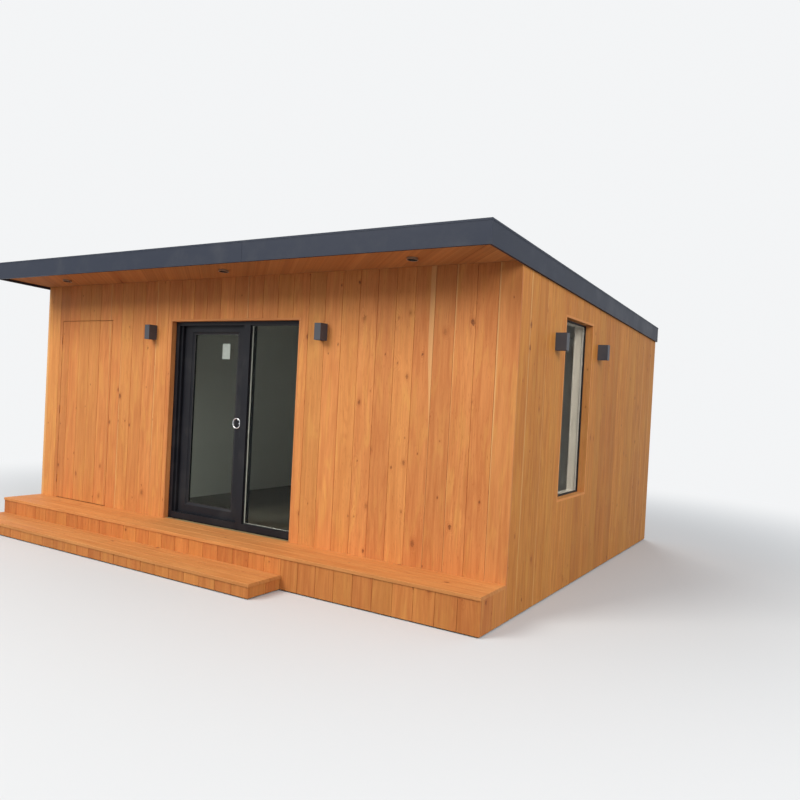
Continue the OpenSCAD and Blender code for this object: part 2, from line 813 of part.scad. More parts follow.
// Timber lining of the storage doorway, with the stop that the leaf shuts against
module storage_lining() {
    color("#d8a56a") difference() {
        span([store_wall_x0, -panel_y, deck_z], [store_wall_x1, -room_y, store_wall_z1]);
        span([store_open_x0, -panel_y - 1, store_sill_z],
            [store_open_x1, store_stop_y, store_open_z1]);
        span([store_open_x0 + store_stop_w, -panel_y - 1, store_sill_z],
            [store_open_x1 - store_stop_w, -room_y + 1, store_open_z1 - store_stop_w]);
        span([store_open_x0, store_stop_y + store_stop_d, store_sill_z],
            [store_open_x1, -room_y + 1, store_open_z1]);
        span([store_wall_x0 - 1, -panel_y - 1, deck_z - 1], [store_wall_x1 + 1, -panel_y + 5, store_sill_z]);
    }
}

// Storage leaf: cladding boards on a flat panel, flush with the wall when shut
module storage_door() {
    color(timber) {
        span([store_x0, -half_d, store_z0], [store_x1, -panel_y, store_z1]);
        span([store_x0, -panel_y, store_back_z0], [store_x1, store_back_y, store_z1]);
    }
}

module storage_hinges() {
    color("#8d9196") for (z = spread(store_z0 + butt_end, store_z1 - butt_end, butt_count))
        difference() {
            union() {
                translate([butt_x, butt_y, z + 0.5]) cylinder(r = butt_r, h = butt_h / 2 - 0.5);
                span([store_x0 - butt_plate_t, butt_y, z + 0.5],
                    [store_x0, -half_d + butt_plate_d, z + butt_h / 2]);
            }
            translate([butt_x, butt_y, z]) cylinder(r = butt_pin_r + running, h = butt_h / 2 + 1);
        }
}

module window_lining() {
    color("#d8a56a") difference() {
        span([win_face_x, win_wall_y0, win_wall_z0], [half_w, win_wall_y1, win_wall_z1]);
        span([win_face_x - 1, win_y0, win_z0], [half_w + 1, win_y1, win_z1]);
    }
}

module window_unit() {
    inset = win_frame_w - glass_edge;
    span([win_glass_x, win_wall_y0 + inset, win_wall_z0 + inset],
        [win_glass_x + glass_t, win_wall_y1 - inset, win_wall_z1 - inset]);
}

// Slim white frame that runs back to the room's face, with the glass near its outer edge
module window_frame() {
    color(white) difference() {
        span([room_x, win_wall_y0, win_wall_z0], [win_face_x, win_wall_y1, win_wall_z1]);
        span([room_x - 1, win_wall_y0 + win_frame_w, win_wall_z0 + win_frame_w],
            [win_face_x + 1, win_wall_y1 - win_frame_w, win_wall_z1 - win_frame_w]);
        window_unit();
    }
}

module window_glass() {
    color([0.6, 0.7, 0.7, 0.4]) window_unit();
}

// A box lamp that shines up and down, with its back on a wall that faces -Y
module lamp() {
    r = lamp_w / 2;
    color(dark) difference() {
        span([-r, -lamp_out, -lamp_h], [r, 0, 0]);
        for (z = [-lamp_h - 1, -lamp_recess])
            span([-r + lamp_t, -lamp_out + lamp_t, z], [r - lamp_t, -lamp_t, z + lamp_recess + 1]);
    }
}

module wall_lamps() {
    for (x = front_lamp_x) translate([x, -half_d, lamp_z]) lamp();
    for (y = side_lamp_y) translate([half_w, y, lamp_z]) rotate([0, 0, 90]) lamp();
}

module deck_boards() {
    color(timber) {
        span([-half_w, deck_y, deck_z - board_t], [half_w, -half_d, deck_z]);
        span([-half_w, step_y, step_z - board_t], [step_x1, skirt_y, step_z]);
    }
}

// Upright skirting boards round the deck and the step
module deck_skirt() {
    deck_top = deck_z - board_t;
    step_top = step_z - board_t;
    color(timber) {
        span([-half_w, skirt_y, clad_foot], [half_w, skirt_y + clad_t, deck_top]);
        for (side = [-1, 1]) {
            mid = side * (half_w - clad_t / 2);
            span([mid - clad_t / 2, skirt_y + clad_t, clad_foot], [mid + clad_t / 2, -half_d, deck_top]);
        }
        span([-half_w, step_skirt_y, clad_foot], [step_end_x, step_skirt_y + clad_t, step_top]);
        for (x = [-half_w, step_end_x - clad_t])
            span([x, step_skirt_y + clad_t, clad_foot], [x + clad_t, skirt_y, step_top]);
    }
}

bearers();
rim_joists();
joists();
floor();
front_wall();
front_wall_heads();
left_wall();
rear_wall();
right_wall();
right_wall_window();
partition_wall();
front_cladding();
left_cladding();
rear_cladding();
right_cladding();
ceiling();
roof_panel();
roof_membrane();
edge_trim();
fascia_front();
fascia_sides();
fascia_rear();
soffit();
downlights();
gutter_base();
gutter_sides();
gutter_ends();
downpipe();
downpipe_brackets();
door_frame();
door_lining();
sidelight_glass();
door_leaf();
door_glass();
door_hinges();
door_plates();
door_lever();
frame_hinges();
storage_lining();
storage_door();
storage_hinges();
window_lining();
window_frame();
window_glass();
wall_lamps();
deck_boards();
deck_skirt();
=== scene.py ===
"""Garden office pod: boards, glazing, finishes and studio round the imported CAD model.

Lengths are in metres, in the model's own frame: X right along the front, Y to the rear, Z up, with
the origin at ground level in the middle of the walls.
"""
import math
import random

import bmesh
import bpy
from mathutils import Euler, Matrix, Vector


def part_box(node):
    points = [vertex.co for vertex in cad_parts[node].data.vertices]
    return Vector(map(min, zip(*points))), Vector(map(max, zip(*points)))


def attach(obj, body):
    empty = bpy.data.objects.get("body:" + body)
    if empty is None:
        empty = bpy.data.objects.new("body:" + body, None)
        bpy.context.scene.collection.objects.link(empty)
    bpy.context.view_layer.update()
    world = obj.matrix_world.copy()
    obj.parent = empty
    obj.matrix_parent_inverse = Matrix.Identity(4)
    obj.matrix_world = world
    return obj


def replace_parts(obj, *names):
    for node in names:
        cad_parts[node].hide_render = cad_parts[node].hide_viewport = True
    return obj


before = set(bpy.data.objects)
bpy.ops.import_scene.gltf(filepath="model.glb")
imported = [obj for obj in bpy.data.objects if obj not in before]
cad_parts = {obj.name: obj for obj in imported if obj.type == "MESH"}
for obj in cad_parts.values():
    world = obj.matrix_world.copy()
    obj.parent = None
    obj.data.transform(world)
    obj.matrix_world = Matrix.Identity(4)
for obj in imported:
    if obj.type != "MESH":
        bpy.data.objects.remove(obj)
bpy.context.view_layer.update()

# Sizes and places, as in the CAD source

HALF_W, HALF_D = 3.0, 2.25                  # cladding faces
CLAD_T, CLAD_FOOT = 0.02, 0.012
PANEL_Y = HALF_D - CLAD_T
ROOF_Y, ROOF_Z, ROOF_FALL = -2.875, 2.942, 0.042
SOFFIT_DROP, PANEL_DROP = 0.165, 0.151
SOFFIT_T = SOFFIT_DROP - PANEL_DROP
EAVE_Y = -2.855                             # inner face of the front fascia
DECK_Z, BOARD_T = 0.300, 0.028
DECK_Y, DECK_SKIRT_Y = -2.696, -2.688
STEP_Y, STEP_SKIRT_Y, STEP_Z = -3.079, -3.071, 0.132
STEP_X1, STEP_END_X = 1.148, 1.140

DOOR = (-0.844, 0.847, 0.300, 2.340)        # opening between the linings: x0, x1, z0, z1
WINDOW = (-1.190, -0.420, 0.847, 2.464)     # the same: y0, y1, z0, z1
LINING_T, LINING_D, WINDOW_LINING_D = 0.02, 0.058, 0.070
STORE_OPEN = (-2.711, -1.806, 0.300, 2.362)
STORE_LEAF = (-2.705, -1.812, 0.308, 2.356)
STORE_BACK_D = 0.080                        # back of the leaf behind the cladding's face
STORE_BACK_GAP = 0.006                      # under the leaf's back panel

LEAF_SIGHT = (-0.634, -0.015, 0.473, 2.224)     # glass that shows: x0, x1, z0, z1
SIDE_SIGHT = (0.195, 0.797, 0.372, 2.302)
PANE_T, SEAL_W, SPACER_W = 0.004, 0.0185, 0.0008
SPACER_SET_IN = 1.02                        # from the unit's face, in panes' thicknesses
LABEL_X, LABEL_Z = (-0.235, -0.130), (1.970, 2.125)
LABEL_OUT, LABEL_IN = 0.0003, 0.0001        # over and into the glass

LEAF_FACE_Y, LEAF_BACK_Y = -2.140, -2.080
LEVER_X, CYLINDER_Z, PLATE_T = 0.085, 1.248, 0.008
CYLINDER_OUT, CYLINDER_R, CYLINDER_FACE_T = 0.004, 0.0078, 0.0016
KEY_HALF_W, KEY_HALF_H, KEY_D = 0.0009, 0.0042, 0.002

WALL_LAMPS = ((-1.110, -HALF_D, "Y"), (1.140, -HALF_D, "Y"), (HALF_W, -1.425, "X"),
              (HALF_W, -0.195, "X"))
LAMP_Z = (2.150, 2.300)                     # its open ends
LAMP_LENS_IN, LAMP_LENS_HALF_W, LAMP_LENS_HALF_T = 0.013, 0.031, 0.001
LAMP_LENS_FROM_WALL = (0.004, 0.096)
LIGHTS = [(-2.235, -2.535), (0.150, -2.535), (2.192, -2.535)]
LIGHT_HOLE_R, LIGHT_TUBE_R = 0.0445, 0.041
LIGHT_LENS_UP, LIGHT_LENS_CLEAR, LIGHT_LENS_T = 0.0055, 0.0008, 0.003
LIGHT_RING_CLEAR, LIGHT_RING_IN = 0.0001, 0.0012
LIGHT_RING_Z = (-0.003, 0.004)              # under and over the soffit's face

# Boards

BOARD_PITCH = 0.186                 # vertical boards, laid from the right-hand corner
SOFFIT_PITCH = 0.186
GROOVE, GROOVE_D = 0.003, 0.005     # open joint between two board faces
CHAMFER = 0.0012
SET_BACK = 0.0009                   # most that a board's face lies behind the wall's
GRAIN_SHIFT = 40                    # most that a board's grain is shifted along it
LAST_STRIP = 1.33                   # widest last board, in boards' widths
SHORTEST = 0.001                    # a shorter length of board is left out
NEAR = 1e-6                         # places this close are the same
FLAT_GAP, BUTT_GAP, FLAT_CHAMFER = 0.0015, 0.001, 0.0022    # deck and step boards


def roof_at(y):
    return ROOF_Z - ROOF_FALL * (y - ROOF_Y)


# Materials

def srgb(*values):
    """A colour written 0 to 255, as linear numbers."""
    return tuple((v / 255 / 12.92) if v <= 10 else ((v / 255 + 0.055) / 1.055) ** 2.4
                 for v in values)


DUST, WEAR, SCUFF = srgb(168, 166, 158), srgb(90, 72, 56), srgb(120, 122, 126)
PAINT_CLOUD, JOINT_DARK, LAP_DARK = srgb(205, 203, 196), srgb(24, 22, 21), srgb(20, 20, 22)
SAPWOOD = srgb(230, 184, 124)
KNOT_HALO, KNOT_BROWN, KNOT_DARK = srgb(166, 88, 42), srgb(128, 70, 36), srgb(66, 36, 22)
SLIVER_W, SLIVER_GROWS = 0.006, 0.009       # pale edge of a board, and how far it widens
STRIP_W, STRIP_SHARE = 0.034, 0.012         # wide pale edge, and the share of boards with one
PLANK_W, PLANK_L, PLANK_STAGGER = 0.19, 1.28, 0.53
ROOF_SHEET_W = 1.4


class Tree:
    """Short calls that build one material's node tree."""

    def __init__(self, name):
        self.material = bpy.data.materials.new(name)
        self.material.use_nodes = True
        self.nodes = self.material.node_tree.nodes
        self.links = self.material.node_tree.links
        self.shader = self.nodes["Principled BSDF"]
        self.output = self.nodes["Material Output"]

    def put(self, socket, value):
        if isinstance(value, bpy.types.NodeSocket):
            self.links.new(value, socket)
        elif value is not None:
            if hasattr(socket.default_value, "__len__") and len(value) == 3 \
                    and len(socket.default_value) == 4:
                value = (*value, 1)
            socket.default_value = value

    def node(self, kind, settings=None, **inputs):
        made = self.nodes.new(kind)
        for key, value in (settings or {}).items():
            setattr(made, key, value)
        for key, value in inputs.items():
            self.put(made.inputs[key], value)
        return made

    def math(self, operation, *values):
        made = self.nodes.new("ShaderNodeMath")
        made.operation = operation
        for socket, value in zip(made.inputs, values):
            self.put(socket, value)
        return made.outputs[0]

    def times(self, a, b):
        return self.math("MULTIPLY", a, b)

    def plus(self, a, b):
        return self.math("ADD", a, b)

    def scaled(self, value, factor, offset):
        """value * factor + offset"""
        return self.math("MULTIPLY_ADD", value, factor, offset)

    def off_middle(self, value, size):
        """How far value is from the middle of its cell, 0 to 0.5 of the cells' size."""
        in_cell = self.math("FRACT", self.math("DIVIDE", value, size))
        return self.math("ABSOLUTE", self.math("SUBTRACT", in_cell, 0.5))

    def span(self, value, low, high, to_low=0.0, to_high=1.0):
        """value from low..high to to_low..to_high, held at the ends, with a soft start and end."""
        made = self.node("ShaderNodeMapRange", {"interpolation_type": "SMOOTHSTEP"})
        for key, number in (("Value", value), ("From Min", low), ("From Max", high),
                            ("To Min", to_low), ("To Max", to_high)):
            self.put(made.inputs[key], number)
        return made.outputs["Result"]

    def vector(self, x, y, z):
        made = self.nodes.new("ShaderNodeCombineXYZ")
        for socket, value in zip(made.inputs, (x, y, z)):
            self.put(socket, value)
        return made.outputs[0]

    def axes(self, vector):
        return tuple(self.node("ShaderNodeSeparateXYZ", Vector=vector).outputs)

    def noise(self, vector, scale, detail=2.0, roughness=0.5, distortion=0.0):
        return self.node("ShaderNodeTexNoise", Vector=vector, Scale=scale, Detail=detail,
                         Roughness=roughness, Distortion=distortion).outputs["Fac"]

    def mix(self, share, a, b, blend="MIX"):
        made = self.node("ShaderNodeMix", {"data_type": "RGBA", "blend_type": blend})
        self.put(made.inputs[0], share)
        self.put(made.inputs[6], a)
        self.put(made.inputs[7], b)
        return made.outputs[2]

    def toward(self, colour, other, share, strength):
        """colour, mixed with other by share * strength."""
        return self.mix(self.times(share, strength), colour, other)

    def place(self):
        """The point on the model, which is the same at every pose."""
        return self.nodes.new("ShaderNodeTexCoord").outputs["Object"]

    def bump(self, height, strength, distance):
        made = self.node("ShaderNodeBump", Height=height, Strength=strength, Distance=distance)
        self.put(self.shader.inputs["Normal"], made.outputs[0])

    def shade(self, **inputs):
        for key, value in inputs.items():
            self.put(self.shader.inputs[key.replace("_", " ")], value)
        return self.material


def show_mixed(nodes, links, share, first, second, output):
    """Sends the mix of two shaders' nodes to the output node."""
    both = nodes.new("ShaderNodeMixShader")
    for socket, value in zip(both.inputs, (share, first.outputs[0], second.outputs[0])):
        links.new(value, socket)
    links.new(both.outputs[0], output.inputs["Surface"])


def wood(name, colours, knots, sap=0.0, variety=0.07, roughness=0.6, grain_axis=None):
    """Softwood boards. colours: pale, dark and golden streaks, and the latewood's lines.

    knots is the share of a pattern's cells that hold a knot, sap the share of boards with a pale
    edge, and variety how far the boards differ. A board's own mesh gives the place across and
    along it, and its number. With grain_axis, the wood is for a carried-over CAD node, and the
    place comes from the model.
    """
    pale, dark, golden, lines = (srgb(*colour) for colour in colours)
    t = Tree(name)
    if grain_axis is None:
        across, along, _ = t.axes(t.node("ShaderNodeUVMap", {"uv_map": "grain"}).outputs[0])
        board = t.node("ShaderNodeAttribute", {"attribute_name": "board"}).outputs["Fac"]
    else:
        parts = t.axes(t.place())
        along = parts["XYZ".index(grain_axis)]
        across = t.plus(*(part for part, axis in zip(parts, "XYZ") if axis != grain_axis))
        board = t.math("FRACT", t.times(t.math("FLOOR", t.times(across, 6.0)), 0.37))
    seed = t.times(board, 61.0)

    # The grain wanders a little as it runs along the board
    wander = t.noise(t.vector(seed, t.times(along, 1.3), 0.0), 1.0)
    bent = t.plus(across, t.scaled(wander, 0.03, -0.015))

    def drawn_out(across_scale, along_scale, detail=2.0, rough=0.5, distortion=0.0):
        """Noise stretched along the board."""
        point = t.vector(t.times(bent, across_scale), t.times(along, along_scale), seed)
        return t.noise(point, 1.0, detail, rough, distortion)

    def own(turns):
        """A number of the board's own, 0 to 1."""
        return t.math("FRACT", t.times(board, turns))

    # Knots: one in each cell of a pattern, only some of them kept, and most of them small
    cells = t.node("ShaderNodeTexVoronoi", {"voronoi_dimensions": "2D"}, Scale=1.0,
                   Vector=t.vector(t.scaled(across, 9.0, seed),
                                   t.scaled(along, 5.6, t.times(seed, 1.7)), 0.0))
    distance = cells.outputs["Distance"]
    chance, bulk, depth = t.node("ShaderNodeSeparateColor", Color=cells.outputs["Color"]).outputs
    kept = t.math("LESS_THAN", chance, knots)
    big = t.math("POWER", bulk, 3.0)
    ragged = t.scaled(t.noise(t.vector(across, along, seed), 62.0, 3.0), 0.11, -0.055)
    reach = t.math("DIVIDE", t.plus(distance, ragged), t.scaled(big, 0.1, 0.035))
    mottle = t.span(t.noise(t.vector(along, across, seed), 95.0), 0.4, 0.62, 0.15, 1.0)
    knot = t.times(t.span(reach, 1.2, 0.6), kept)
    rim = t.times(t.span(t.math("ABSOLUTE", t.math("SUBTRACT", reach, 1.05)), 0.35, 0.0), kept)
    halo = t.times(t.span(reach, 3.4, 0.9), kept)
    swirl = t.times(t.span(distance, 0.5, 0.0), t.times(kept, t.scaled(big, 0.7, 0.3)))

    # Grain: contours of a slow field that runs along the board and round the knots
    field = t.plus(drawn_out(7.0, 0.5, 1.5, 0.4, 0.2), t.times(swirl, 0.4))
    rings = t.scaled(t.math("SINE", t.times(field, 90.0)), 0.5, 0.5)
    late = t.times(t.math("POWER", rings, 2.5), t.span(drawn_out(9.0, 0.8), 0.35, 0.65))
    streak = drawn_out(26.0, 1.5, 3.0, 0.65)
    flame = drawn_out(15.0, 2.6, distortion=0.6)
    fine = drawn_out(300.0, 6.0, 3.0, 0.6)
    fleck = t.span(drawn_out(150.0, 14.0, 1.0), 0.62, 0.76)
    dash = t.span(drawn_out(62.0, 11.0, 2.0, 0.6), 0.66, 0.8)
    patch = drawn_out(5.0, 0.9)

    redder, edge = own(7.31), own(3.7)
    speckled = t.span(own(5.3), 0.3, 0.8, 0.12, 0.46)
    colour = t.mix(t.span(streak, 0.24, 0.8), pale, dark)
    for other, share, strength in (
            (golden, t.span(flame, 0.48, 0.7), variety * 5.0),
            (lines, t.span(patch, 0.45, 0.8), variety * 3.2),
            (lines, t.span(redder, 0.4, 1.0), variety * 2.2),
            (golden, t.span(own(11.7), 0.45, 1.0), variety * 3.2),
            (lines, late, 0.22), (lines, fleck, speckled), (lines, dash, speckled)):
        colour = t.toward(colour, other, share, strength)
    if sap:
        # Pale sapwood along one edge: a sliver on some boards, and a wide strip on a few
        side = t.scaled(t.math("GREATER_THAN", redder, 0.5), 2.0, -1.0)
        comes = t.math("SINE", t.scaled(along, 1.1, t.times(own(4.95), 2 * math.pi)))
        strip = t.times(t.math("LESS_THAN", edge, STRIP_SHARE),
                        t.span(comes, -0.45, 0.4, 0.0, STRIP_W))
        wide = t.plus(t.span(comes, -0.5, 0.7, 0.0, SLIVER_GROWS), strip)
        from_edge = t.math("SUBTRACT", BOARD_PITCH / 2 - SLIVER_W,
                           t.plus(t.times(across, side), wide))
        sapwood = t.times(t.span(from_edge, 0.003, -0.006), t.math("LESS_THAN", edge, sap))
        colour = t.toward(colour, SAPWOOD, sapwood, 0.5)
    bright = t.times(t.span(fine, 0.25, 0.75, 0.91, 1.05),
                     t.scaled(board, 2 * variety, 1 - variety))
    colour = t.mix(1.0, colour, t.vector(bright, bright, bright), "MULTIPLY")
    core = t.times(t.math("MAXIMUM", rim, t.times(knot, 0.6)), mottle)
    for other, share, strength in (
            (KNOT_HALO, halo, 0.34),
            (KNOT_BROWN, knot, t.span(depth, 0.2, 0.9, 0.3, 0.7)),
            (KNOT_DARK, core, t.span(depth, 0.0, 0.9, 0.1, 0.72))):
        colour = t.toward(colour, other, share, strength)
    grain_height = t.scaled(fine, 0.5, t.times(late, 0.3))
    t.bump(t.math("SUBTRACT", grain_height, t.times(knot, 0.4)), 0.3, 0.0008)
    return t.shade(Base_Color=colour, Specular_IOR_Level=0.22,
                   Roughness=t.span(fine, 0.2, 0.8, roughness - 0.07, roughness + 0.1))


def coated_metal(name, colour, roughness, dust, gloss=0.4):
    """Powder coat or plastic foil: an even colour with a faint texture, and a little dust."""
    t = Tree(name)
    place = t.place()
    cloud = t.noise(place, 3.1, 4.0, 0.6)
    t.bump(t.noise(place, 900.0), 0.12, 0.0002)
    return t.shade(Base_Color=t.toward(srgb(*colour), DUST, t.span(cloud, 0.45, 0.8), dust),
                   Roughness=t.span(cloud, 0.3, 0.75, roughness - 0.05, roughness + 0.09),
                   Specular_IOR_Level=gloss)


def hinge_coat(name, dark, brown):
    """Dark at the glazed door, and brown as the boards at the storage door to its left."""
    t = Tree(name)
    place = t.place()
    worn = t.noise(place, 60.0, 3.0)
    at_store = t.math("LESS_THAN", t.axes(place)[0], STORE_OPEN[1])
    colour = t.mix(at_store, srgb(*dark), srgb(*brown))
    return t.shade(Base_Color=t.toward(colour, WEAR, worn, 0.12),
                   Roughness=t.span(worn, 0.3, 0.7, 0.34, 0.46), Specular_IOR_Level=0.3)


def bright_metal(name, colour, roughness):
    t = Tree(name)
    place = t.place()
    rub = t.noise(place, 140.0, 3.0)
    t.bump(t.noise(place, 60.0), 0.03, 0.0002)
    return t.shade(Base_Color=t.toward(srgb(*colour), SCUFF, rub, 0.12), Metallic=1.0,
                   Roughness=t.span(rub, 0.3, 0.7, roughness * 0.7, roughness * 1.4))


def wall_paint(name, colour):
    t = Tree(name)
    place = t.place()
    t.bump(t.noise(place, 420.0, 3.0, 0.6), 0.15, 0.0004)
    return t.shade(Base_Color=t.toward(srgb(*colour), PAINT_CLOUD, t.noise(place, 1.6, 3.0), 0.1),
                   Roughness=0.75)


def clear_glass(name, tint, ior):
    """Clear pane that lets the lamps' light through to the room."""
    t = Tree(name)
    smear = t.span(t.noise(t.place(), 5.0, 4.0, 0.6), 0.45, 0.8, 0.0, 0.035)
    t.shade(Base_Color=tint, Roughness=smear, IOR=ior, Transmission_Weight=1.0)
    through = t.node("ShaderNodeBsdfTransparent", Color=tint)
    shadow = t.nodes.new("ShaderNodeLightPath").outputs["Is Shadow Ray"]
    show_mixed(t.nodes, t.links, shadow, t.shader, through, t.output)
    return t.material


def floor_planks(name):
    """Dark laminate planks along X, with fine joints and a soft grain."""
    t = Tree(name)
    x, y, _ = t.axes(t.place())
    row = t.math("FLOOR", t.math("DIVIDE", y, PLANK_W))
    shifted = t.plus(x, t.times(row, PLANK_STAGGER))
    plank = t.math("FLOOR", t.math("DIVIDE", shifted, PLANK_L))
    tone = t.node("ShaderNodeTexWhiteNoise", {"noise_dimensions": "2D"},
                  Vector=t.vector(row, plank, 0.0)).outputs[0]
    gap = t.math("MAXIMUM", t.math("GREATER_THAN", t.off_middle(y, PLANK_W), 0.492),
                 t.math("GREATER_THAN", t.off_middle(shifted, PLANK_L), 0.4988))
    grain = t.noise(t.vector(t.times(x, 3.0), t.times(y, 60.0), t.times(tone, 9.0)), 1.0, 4.0, 0.65)
    colour = t.mix(t.span(grain, 0.3, 0.7), srgb(84, 77, 72), srgb(112, 104, 97))
    colour = t.toward(colour, srgb(70, 64, 60), tone, 0.35)
    t.bump(t.math("SUBTRACT", t.times(grain, 0.3), gap), 0.3, 0.0008)
    return t.shade(Base_Color=t.toward(colour, JOINT_DARK, gap, 0.8),
                   Roughness=t.span(grain, 0.2, 0.8, 0.38, 0.5))


def rubber_sheet(name):
    """Roof covering: dull rubber with laps, dust and faint ripples."""
    t = Tree(name)
    place = t.place()
    dust = t.noise(place, 1.7, 6.0, 0.65)
    lap = t.math("LESS_THAN", t.off_middle(t.axes(place)[0], ROOF_SHEET_W), 0.004)
    colour = t.mix(t.span(dust, 0.3, 0.9), srgb(50, 52, 55), srgb(68, 68, 67))
    t.bump(t.plus(t.times(t.noise(place, 4.0, 3.0), 0.8), t.times(lap, 0.5)), 0.3, 0.004)
    return t.shade(Base_Color=t.toward(colour, LAP_DARK, lap, 0.7),
                   Roughness=t.span(dust, 0.3, 0.7, 0.76, 0.84))


def plain_finish(name, colour, other, roughness):
    """Two close colours in small clouds, over a faint texture."""
    t = Tree(name)
    place = t.place()
    t.bump(t.noise(place, 360.0), 0.1, 0.0002)
    cloud = t.span(t.noise(place, 30.0, 3.0, 0.6), 0.35, 0.7)
    return t.shade(Base_Color=t.mix(cloud, srgb(*colour), srgb(*other)), Roughness=roughness)


CLADDING = wood("cladding_wood", [(219, 146, 84), (196, 121, 66), (222, 164, 86), (170, 88, 42)],
                knots=0.14, sap=0.34)
# Painted shade: a slightly darker, yellower copy of the front's wood, for the rear and side walls
# that the light reaches at a slant
CLADDING_SIDE_PAINTED_SHADE = wood("cladding_wood_side_painted_shade",
                     [(212, 142, 70), (186, 115, 51), (216, 157, 76), (156, 84, 36)],
                     knots=0.14, sap=0.3, variety=0.085)
SKIRT_WOOD = wood("skirt_wood", [(210, 136, 74), (186, 111, 56), (212, 150, 76), (162, 82, 38)],
                  knots=0.17)
DECK_WOOD = wood("deck_wood", [(215, 147, 85), (196, 125, 67), (212, 152, 88), (168, 96, 48)],
                 knots=0.05, variety=0.05)
# Painted shade: darker and redder than the wall boards, as the eave's underside lies in shade
SOFFIT_WOOD_PAINTED_SHADE = wood("soffit_wood_painted_shade", [(198, 102, 44), (182, 88, 36), (192, 102, 46), (148, 66, 24)],
                   knots=0.04, variety=0.02)
LINING_WOOD = wood("lining_wood", [(216, 146, 88), (194, 120, 66), (212, 150, 90), (160, 92, 46)],
                   knots=0.05)
# Painted light: a paler copy of the door lining's wood, so that the window's reveal looks as lit as
# the front wall
WINDOW_LINING_WOOD_PAINTED_LIGHT = wood("window_lining_wood_painted_light",
                          [(230, 158, 92), (212, 136, 72), (230, 164, 96), (178, 104, 54)],
                          knots=0.05)
SAWN_Z = wood("sawn_wood", [(206, 146, 92), (184, 122, 70), (200, 144, 90), (150, 92, 50)],
              knots=0.1, grain_axis="Z", roughness=0.72)
UNDER_X, UNDER_Y = (
    wood("underframe_wood_" + axis.lower(),
         [(168, 152, 112), (142, 124, 86), (150, 140, 104), (110, 94, 62)],
         knots=0.12, grain_axis=axis, roughness=0.78) for axis in "XY")
FASCIA = coated_metal("fascia_coat", (43, 49, 63), 0.5, 0.06, 0.18)
PROFILE = coated_metal("frame_coat", (25, 26, 32), 0.4, 0.03, 0.2)
LAMP_COAT = coated_metal("lamp_coat", (69, 72, 80), 0.5, 0.08)
RAINWATER = coated_metal("rainwater_coat", (52, 56, 62), 0.4, 0.14)
PLATE = coated_metal("handle_plate_coat", (34, 36, 40), 0.3, 0.03)
CHROME = bright_metal("handle_chrome", (226, 228, 230), 0.09)
HINGE = hinge_coat("hinge_coat", (46, 44, 44), (198, 134, 82))
SPACER = plain_finish("spacer_bar", (180, 176, 170), (194, 190, 184), 0.5)
GLASS = clear_glass("clear_glass", (0.87, 0.895, 0.87), 1.1)
WINDOW_PANE = clear_glass("window_pane_glass", (0.925, 0.91, 0.88), 1.028)
WHITE = wall_paint("white_paint", (226, 225, 221))
PLANKS = floor_planks("floor_planks")
MEMBRANE = rubber_sheet("roof_membrane")
GASKET = plain_finish("gasket_rubber", (20, 20, 22), (32, 32, 34), 0.6)
LENS = plain_finish("lamp_lens", (150, 148, 142), (170, 168, 160), 0.3)
BEZEL = coated_metal("downlight_coat", (176, 152, 130), 0.4, 0.05)
# Painted shade: the downlights' lens and the ring in each hole are dark brown, as the inside of the
# recess lies in shade
DOWNLIGHT_LENS_PAINTED_SHADE = plain_finish("downlight_lens_painted_shade", (34, 28, 24), (44, 37, 32), 0.25)
LABEL = plain_finish("blank_label", (160, 170, 163), (172, 180, 173), 0.5)


# Mesh helpers

def new_object(name, bm, material, body):
    mesh = bpy.data.meshes.new(name)
    bmesh.ops.recalc_face_normals(bm, faces=bm.faces)
    bm.to_mesh(mesh)
    bm.free()
    obj = bpy.data.objects.new(name, mesh)
    bpy.context.collection.objects.link(obj)
    mesh.materials.append(material)
    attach(obj, body)
    return obj


def new_boards():
    bm = bmesh.new()
    bm.loops.layers.uv.new("grain")
    bm.faces.layers.float.new("board")
    return bm


def always(value):
    """The same place along, wherever across."""
    return lambda across: value


def add_prism(bm, outline, at, near, far, number, middle, grain_shift=0.0):
    """A piece from an outline of (across, out) points, drawn from near(across) to far(across).

    at(across, along, out) gives a point's place, and middle is the board's middle across.
    """
    grain, board = bm.loops.layers.uv["grain"], bm.faces.layers.float["board"]
    ends = [[bm.verts.new(at(a, stop(a), o)) for a, o in outline] for stop in (near, far)]
    local = {v: (a - middle + o, stop(a) + grain_shift) for row, stop in zip(ends, (near, far))
             for v, (a, o) in zip(row, outline)}
    faces = [bm.faces.new(list(reversed(ends[0]))), bm.faces.new(ends[1])]
    for i in range(len(outline)):
        j = (i + 1) % len(outline)
        faces.append(bm.faces.new((ends[0][i], ends[0][j], ends[1][j], ends[1][i])))
    for face in faces:
        face[board] = number
        for loop in face.loops:
            loop[grain].uv = local[loop.vert]


def board_outline(a0, a1, left, right, depth, set_back):
    """A board's section: chamfered face edges, and a tongue that closes the joint behind the face.

    left and right say which of its edges is a joint. The others are plain.
    """
    face, groove = -set_back, -set_back - GROOVE_D
    points = [(a0, -depth), (a1, -depth), (a1, groove if right else face)]
    if right:
        edge = a1 - GROOVE / 2
        points += [(edge, groove), (edge, face - CHAMFER), (edge - CHAMFER, face)]
    if left:
        edge = a0 + GROOVE / 2
        points += [(edge + CHAMFER, face), (edge, face - CHAMFER), (edge, groove)]
    return points + [(a0, groove if left else face)]


def board_draws(seed):
    """A board's number, how far its face is set back, and where its grain starts."""
    rng = random.Random(seed)
    return rng.random(), rng.uniform(0.0, SET_BACK), rng.uniform(0, GRAIN_SHIFT)


